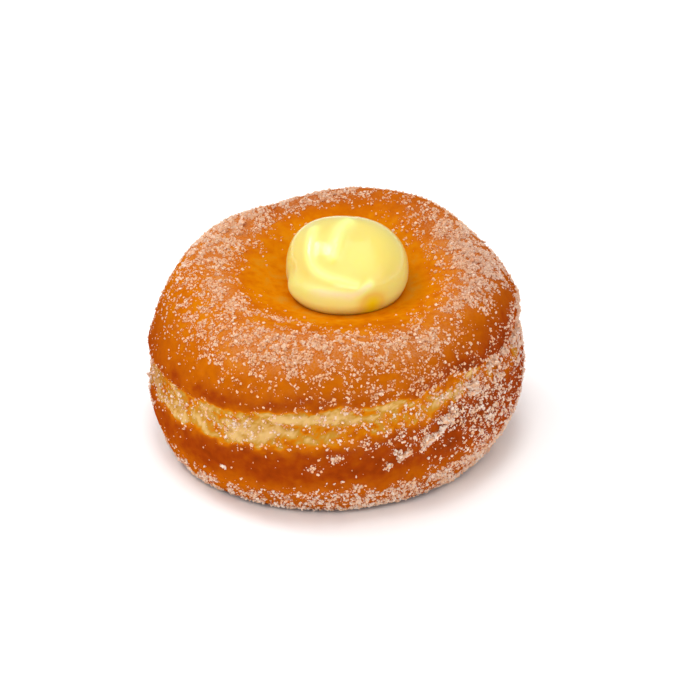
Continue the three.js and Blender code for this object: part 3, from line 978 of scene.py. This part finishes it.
def object_noise(tree, size, detail):
    """The socket of noise whose bumps have a size on the object."""
    place = add_node(tree, "ShaderNodeTexCoord", {}).outputs["Object"]
    node = add_node(tree, "ShaderNodeTexNoise", {"Vector": place, "Scale": 1 / size, "Detail": detail})
    return node.outputs["Fac"]


def bumped(tree, height, strength, distance):
    """The socket of normals that a height bends."""
    node = add_node(tree, "ShaderNodeBump", {"Height": height, "Strength": strength, "Distance": distance})
    return node.outputs["Normal"]


def colour_ramp(tree, value, stops, shades):
    """The socket of a colour that runs through shades at their stops as a value goes from 0 to 1."""
    node = add_node(tree, "ShaderNodeValToRGB", {"Fac": value})
    elements = node.color_ramp.elements
    while len(elements) < len(stops):
        elements.new(0.5)
    for element, stop, shade in zip(elements, stops, shades):
        element.position = stop
        element.color = (*shade, 1)
    return node.outputs["Color"]


def value_range(tree, value, low, high):
    """The socket of a value stretched from 0 to 1 into another range."""
    node = add_node(tree, "ShaderNodeMapRange", {"Value": value, "To Min": low, "To Max": high})
    return node.outputs["Result"]


def joined_values(tree, operation, first, second, **settings):
    """The socket of two values added or multiplied."""
    node = add_node(tree, "ShaderNodeMath", {0: first, 1: second}, operation=operation, **settings)
    return node.outputs["Value"]


def mixed_colour(tree, share, first, second):
    """The socket of a colour that goes from one to another by a share."""
    inputs = {"Factor": share, MIX_FIRST: first, MIX_SECOND: (*second, 1)}
    return add_node(tree, "ShaderNodeMix", inputs, data_type="RGBA").outputs[MIX_RESULT]


def crust_material(dough):
    """Fried crust, by how browned and shaded it is: pale crumb on the band, orange crown and brown side,
    with painted shade at the foot, in the sunk crumb and on the rim's sides.
    """
    material, tree, shader = new_material("fried_crust")
    mottle = value_range(tree, object_noise(tree, 1.4 * MM, 4), -0.09, 0.09)
    browned = joined_values(tree, "ADD", attribute_value(tree, "browning"), mottle)
    shades = (dough.crumb, dough.golden, dough.amber, dough.orange, dough.brown, dough.dark)
    bare = colour_ramp(tree, browned, CRUST_STOPS, shades)
    speckle = value_range(tree, object_noise(tree, 0.45 * MM, 2), -1.4, 2.6)
    dusted = joined_values(tree, "MULTIPLY", attribute_value(tree, "film"), speckle, use_clamp=True)
    sugared = mixed_colour(tree, dusted, bare, dough.film)
    set_inputs(tree, shader, {
        # Painted shade: the rim's sides are darkened, over the crust and its sugar film.
        "Base Color": mixed_colour(tree, attribute_value(tree, "toasted"), sugared, dough.rim_shade),
        "Roughness": value_range(tree, attribute_value(tree, "pale"), 0.4, 0.8),
        "Normal": bumped(tree, object_noise(tree, 0.5 * MM, 3), 0.25, 0.15 * MM),
        "Specular IOR Level": 0.0,
        "Subsurface Weight": 0.1,
        "Subsurface Radius": (1, 0.5, 0.2),
        "Subsurface Scale": 1.5 * MM,
    })
    return material


def cream_material(cream):
    """Glossy custard cream: painted highlights along its folds, painted light on its low wall, and painted
    shade in deeper yellow towards its foot and in its crease.
    """
    material, tree, shader = new_material("custard_cream")
    shades = (cream.streak, cream.light, cream.pale, cream.deep)
    set_inputs(tree, shader, {
        "Base Color": colour_ramp(tree, attribute_value(tree, "depth"), CREAM_STOPS, shades),
        "Roughness": 0.35,
        "Normal": bumped(tree, object_noise(tree, 2.5 * MM, 2), 0.1, 0.2 * MM),
        "Subsurface Weight": 1.0,
        "Subsurface Radius": (1, 0.8, 0.35),
        "Subsurface Scale": 3 * MM,
        "Coat Weight": 0.8,
        "Coat Roughness": 0.15,
    })
    return material


def sugar_material(sugar):
    """Sugar crystals, from dry white ones to clear ones that take the crust's colour."""
    material, tree, shader = new_material("sugar")
    shades = (sugar.white, sugar.pink, sugar.peach)
    shade = colour_ramp(tree, attribute_value(tree, "tone"), SUGAR_STOPS, shades)
    set_inputs(tree, shader, {
        # Painted shade: grains on the rim's sides are darkened towards the rim colour.
        "Base Color": mixed_colour(tree, attribute_value(tree, "toasted"), shade, sugar.rim),
        "Roughness": 0.3,
        "Subsurface Weight": 0.3,
        "Subsurface Radius": (1, 0.8, 0.6),
        "Subsurface Scale": 0.6 * MM,
    })
    return material


class DOUGHNUT_OT_dough(bpy.types.Operator):
    """Add the fried dough with its crust and pale band"""

    bl_idname = "doughnut.dough"
    bl_label = "Fried Dough"

    def execute(self, context):
        shape = Doughnut(context.scene)
        mesh = wrapped_mesh("fried_dough", DOUGH_RINGS, DOUGH_SIDES, shape.dough_point)
        azimuth = read_attribute(mesh, "azimuth")
        way = read_attribute(mesh, "way")
        points = mesh_points(mesh)
        pale = shape.pale_share(azimuth, points)
        write_attribute(mesh, "pale", pale)
        write_attribute(mesh, "browning", shape.browning(azimuth, way, points, pale))
        # Painted shade of the rim's sides.
        write_attribute(mesh, "toasted", toasted(azimuth, way))
        write_attribute(mesh, "film", sugar_film(azimuth, way, points))
        add_piece(mesh, crust_material(shape.dough), "crust", "dough")
        return {"FINISHED"}


class DOUGHNUT_OT_cream(bpy.types.Operator):
    """Add the dollop of custard cream"""

    bl_idname = "doughnut.cream"
    bl_label = "Custard Cream"

    def execute(self, context):
        shape = Doughnut(context.scene)
        mesh = wrapped_mesh("custard_dollop", CREAM_RINGS, CREAM_SIDES, shape.cream_point)
        azimuth = read_attribute(mesh, "azimuth")
        way = read_attribute(mesh, "way")
        write_attribute(mesh, "depth", cream_colour_and_painted_light(azimuth, way))
        add_piece(mesh, cream_material(shape.cream), "custard", "cream")
        return {"FINISHED"}


class DOUGHNUT_OT_sugar(bpy.types.Operator):
    """Add the sugar: clumps where the solid has them, coarse crystals and fine ones"""

    bl_idname = "doughnut.sugar"
    bl_label = "Sugar"

    def execute(self, context):
        shape = Doughnut(context.scene)
        sugar = context.scene.doughnut_sugar
        rng = np.random.default_rng(sugar.seed)
        material = sugar_material(sugar)
        add_piece(clump_mesh(shape, sugar, rng), material, "crust")
        for name, form, count, size in (
            ("sugar_crystals", CRYSTAL_FORM, sugar.crystal_count, sugar.crystal_size),
            ("sugar_fine", SPLINTER_FORM, sugar.fine_count, sugar.fine_size),
        ):
            add_piece(scattered_mesh(name, shape, rng, form, count, size), material, "crust")
        return {"FINISHED"}


class DOUGHNUT_OT_stage(bpy.types.Operator):
    """Add the floor, the light and the camera"""

    bl_idname = "doughnut.stage"
    bl_label = "Stage"

    def execute(self, context):
        stage = context.scene.doughnut_stage
        add_floor(stage)
        add_surroundings(stage)
        add_lights(stage)
        add_camera(stage)
        context.scene.view_settings.view_transform = "Standard"
        return {"FINISHED"}


def add_floor(stage):
    """A wide pale floor under the doughnut."""
    bm = bmesh.new()
    bmesh.ops.create_grid(bm, x_segments=1, y_segments=1, size=FLOOR_REACH)
    mesh = bpy.data.meshes.new("floor")
    bm.to_mesh(mesh)
    bm.free()
    floor = bpy.data.objects.new("floor", mesh)
    bpy.context.scene.collection.objects.link(floor)
    material, tree, shader = new_material("floor")
    set_inputs(tree, shader, {"Base Color": (*stage.floor, 1), "Roughness": 0.6})
    mesh.materials.append(material)


def add_surroundings(stage):
    """White surroundings."""
    world = bpy.data.worlds.new("surroundings")
    world.use_nodes = True
    background = world.node_tree.nodes["Background"]
    set_inputs(world.node_tree, background, {"Color": (1, 1, 1, 1), "Strength": stage.sky_strength})
    bpy.context.scene.world = world


def add_lights(stage):
    """Soft lights above, at both sides and over the back left, and one each for the floor and the cream."""
    add_softbox("top_light", stage.top_power, (1.6, 1.6), (-0.1, -0.05, 1.2))
    add_softbox("left_light", stage.side_power, (0.9, 0.9), (-0.8, -0.45, 0.5))
    add_softbox("right_light", stage.side_power, (0.9, 0.9), (0.8, -0.45, 0.5))
    add_softbox("key_light", stage.key_power, (0.3, 0.3), (-0.5, 0.3, 0.85))
    add_softbox("floor_light", stage.floor_power, (0.4, 0.4), (0, 0, 1.2), "floor")
    add_softbox("cream_light", stage.cream_power, (1, 0.25), (0, -0.93, 0.34), "custard_dollop")


def add_softbox(name, watts, size, place, lit_alone=None):
    """A soft light at a place, facing the doughnut, that may fall on one object alone."""
    lamp = bpy.data.lights.new(name, "AREA")
    lamp.energy = watts
    lamp.shape = "RECTANGLE"
    lamp.size, lamp.size_y = size
    softbox = bpy.data.objects.new(name, lamp)
    softbox.location = place
    softbox.rotation_euler = (-Vector(place)).to_track_quat("-Z", "Y").to_euler()
    bpy.context.scene.collection.objects.link(softbox)
    if lit_alone:
        receivers = bpy.data.collections.new("lit_by_" + name)
        receivers.objects.link(bpy.data.objects[lit_alone])
        softbox.light_linking.receiver_collection = receivers


def add_camera(stage):
    """The camera of the photograph: in front, looking down."""
    data = bpy.data.cameras.new("camera")
    data.lens = data.sensor_width * stage.distance / stage.frame_width
    camera = bpy.data.objects.new("camera", data)
    back_and_up = Vector((0, -math.cos(stage.elevation), math.sin(stage.elevation)))
    aim = Vector((stage.aim_right, 0, stage.aim_height))
    camera.location = aim + stage.distance * back_and_up
    camera.rotation_euler = (QUARTER - stage.elevation, 0, 0)
    bpy.context.scene.collection.objects.link(camera)
    bpy.context.scene.camera = camera


class DOUGHNUT_PT_panel(bpy.types.Panel):
    """Lists the doughnut's pieces and their settings"""

    bl_idname = "DOUGHNUT_PT_panel"
    bl_label = "Cream-Filled Doughnut"
    bl_space_type = "VIEW_3D"
    bl_region_type = "UI"
    bl_category = "Doughnut"

    def draw(self, context):
        for operator, group in PIECES:
            box = self.layout.box()
            box.operator(operator.bl_idname)
            settings = getattr(context.scene, group)
            for name in settings.bl_rna.properties.keys():
                if name not in ("rna_type", "name"):
                    box.prop(settings, name)


SETTINGS = {
    "doughnut_dough": DoughSettings,
    "doughnut_cream": CreamSettings,
    "doughnut_sugar": SugarSettings,
    "doughnut_stage": StageSettings,
}
PIECES = (
    (DOUGHNUT_OT_dough, "doughnut_dough"),
    (DOUGHNUT_OT_cream, "doughnut_cream"),
    (DOUGHNUT_OT_sugar, "doughnut_sugar"),
    (DOUGHNUT_OT_stage, "doughnut_stage"),
)
CLASSES = (*SETTINGS.values(), *(operator for operator, _ in PIECES), DOUGHNUT_PT_panel)


def register():
    """Registers the classes and gives the scene its settings."""
    for cls in CLASSES:
        bpy.utils.register_class(cls)
    for name, cls in SETTINGS.items():
        setattr(bpy.types.Scene, name, PointerProperty(type=cls))


def unregister():
    """Takes the settings and the classes away again."""
    for name in SETTINGS:
        delattr(bpy.types.Scene, name)
    for cls in reversed(CLASSES):
        bpy.utils.unregister_class(cls)


def main():
    """Builds every piece and the stage."""
    register()
    bpy.ops.doughnut.dough()
    bpy.ops.doughnut.cream()
    bpy.ops.doughnut.sugar()
    bpy.ops.doughnut.stage()


if __name__ == "__main__":
    main()
